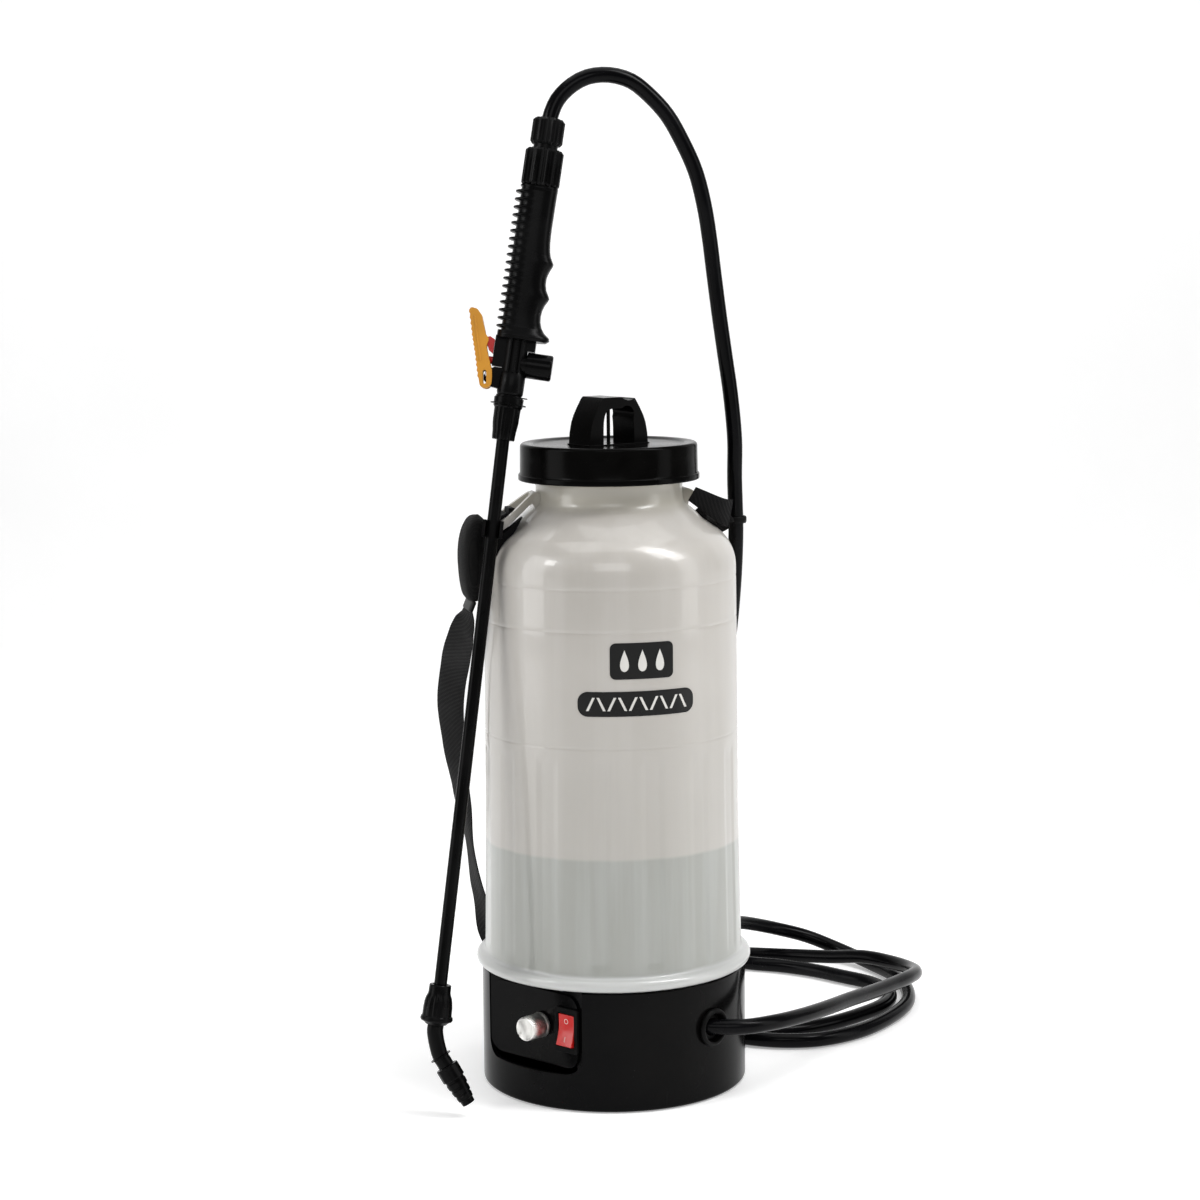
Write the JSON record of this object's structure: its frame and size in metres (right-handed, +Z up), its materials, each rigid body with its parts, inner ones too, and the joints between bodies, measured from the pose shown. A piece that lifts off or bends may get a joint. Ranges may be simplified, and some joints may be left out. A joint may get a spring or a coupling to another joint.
{
  "type": "cordless bottle sprayer",
  "caption": "Upright cordless sprayer: translucent tank on a round battery base, screw cap with arch handle, shoulder strap, floor-coiled hose and a trigger lance.",
  "frame": {"origin": "centre of the base's underside, on the surface that it stands on", "axes": "+Z up along the tank's axis, -Y towards the person facing the controls, +X to their right"},
  "size_m": [0.3794, 0.4123, 0.7195],
  "materials": {
    "gloss_black": "glossy moulded plastic",
    "satin_black": "satin moulded plastic",
    "black_rubber": "smooth rubber",
    "milky_bottle": "translucent blow-moulded plastic",
    "screw_steel": "bright zinc-plated steel",
    "knob_aluminium": "turned, with fine rings on its face",
    "lever_yellow": "fine-grained moulded plastic",
    "signal_red": "glossy moulded plastic",
    "webbing": "woven strap webbing",
    "brass": "turned brass",
    "board_green": "coated circuit board",
    "grey_plastic": "plain moulded plastic"
  },
  "bodies": {
    "tank": {"base_housing": "gloss_black", "base_plate": "satin_black", "base_screw_1": "screw_steel", "base_screw_2": "screw_steel", "base_screw_3": "screw_steel", "base_screw_4": "screw_steel", "control_panel": "gloss_black", "switch_housing": "satin_black", "potentiometer": "grey_plastic", "battery": "grey_plastic", "pump_motor": "screw_steel", "pump_head": "satin_black", "control_board": "board_green", "tank_outlet": "satin_black", "outlet_nut": "satin_black", "tank_strainer": "grey_plastic", "suction_hose": "black_rubber", "outlet_coupling": "satin_black", "pressure_hose": "black_rubber", "hose_grommet": "black_rubber", "charge_socket": "satin_black", "bottle": "milky_bottle", "hose": "black_rubber", "hose_tie": "black_rubber", "strap_loop_left": "webbing", "strap_loop_right": "webbing", "strap_pad": "webbing", "strap_slider": "grey_plastic", "strap_web_left": "webbing", "strap_web_right": "webbing", "strap_tab": "webbing", "strap_flap": "webbing", "lance_clip": "satin_black"},
    "seal": {"cap_seal": "black_rubber"},
    "cap": {"cap": "satin_black"},
    "knob": {"speed_knob": "knob_aluminium", "knob_shaft": "screw_steel"},
    "rocker": {"switch_rocker": "signal_red"},
    "lance": {"grip": "satin_black", "valve_body": "satin_black", "valve_cap": "gloss_black", "valve_spring": "screw_steel", "trigger_pin": "screw_steel", "coupling_nut": "satin_black", "hose_tail": "brass", "hose_nut": "satin_black", "hose_end": "black_rubber", "lance_nut": "satin_black", "lance_tube": "satin_black", "nozzle_nut": "satin_black"},
    "trigger": {"trigger_lever": "lever_yellow"},
    "plunger": {"valve_plunger": "signal_red"},
    "lock": {"trigger_lock": "signal_red"},
    "elbow": {"nozzle_elbow": "satin_black", "nozzle_core": "brass"},
    "tip_seal": {"nozzle_seal": "black_rubber"},
    "tip": {"nozzle_cap": "satin_black"}
  },
  "joints": [
    {"name": "cap_lift", "type": "slide", "parent": "tank", "child": "seal", "axis": [0, 0, 1], "range_m": [0, 0.009]},
    {"name": "cap_turn", "type": "hinge", "parent": "seal", "child": "cap", "pos_m": [0, 0, 0.45], "axis": [0, 0, 1], "range_deg": [0, 540]},
    {"name": "knob_turn", "type": "hinge", "parent": "tank", "child": "knob", "pos_m": [-0.05696, -0.07645, 0.0575], "axis": [0.6626, 0.749, 0], "range_deg": [0, 280]},
    {"name": "rocker_tilt", "type": "hinge", "parent": "tank", "child": "rocker", "pos_m": [-0.03321, -0.08584, 0.0575], "axis": [0.749, -0.6626, 0], "range_deg": [0, 16]},
    {"name": "lance_unclip", "type": "slide", "parent": "tank", "child": "lance", "axis": [0, -1, 0], "range_m": [0, 0.06]},
    {"name": "trigger_press", "type": "hinge", "parent": "lance", "child": "trigger", "pos_m": [-0.08314, -0.03374, 0.50957], "axis": [0, 0.9924, -0.1233], "range_deg": [0, 9], "stiffness_Nm_per_rad": 0.5, "springref_deg": -5.73},
    {"name": "plunger_push", "type": "slide", "parent": "lance", "child": "plunger", "axis": [0.988, -0.0191, -0.1535], "range_m": [0, 0.0017]},
    {"name": "lock_slide", "type": "slide", "parent": "lance", "child": "lock", "axis": [0.1547, 0.1218, 0.9804], "range_m": [0, 0.004]},
    {"name": "elbow_turn", "type": "hinge", "parent": "lance", "child": "elbow", "pos_m": [-0.1203, -0.088, 0.092], "axis": [0.1248, 0.1285, 0.9838], "continuous": true},
    {"name": "tip_advance", "type": "slide", "parent": "elbow", "child": "tip_seal", "axis": [0.5051, -0.1, -0.8572], "range_m": [0, 0.003]},
    {"name": "tip_turn", "type": "hinge", "parent": "tip_seal", "child": "tip", "pos_m": [-0.12554, -0.0934, 0.05068], "axis": [0.5051, -0.1, -0.8572], "range_deg": [0, 360]}
  ],
  "couplings": [
    {"joint": "cap_lift", "follows": "cap_turn", "m_per_rad": 0.00095493},
    {"joint": "plunger_push", "follows": "trigger_press", "m_per_rad": 0.0103},
    {"joint": "tip_turn", "follows": "tip_advance", "rad_per_m": 2094.4}
  ]
}
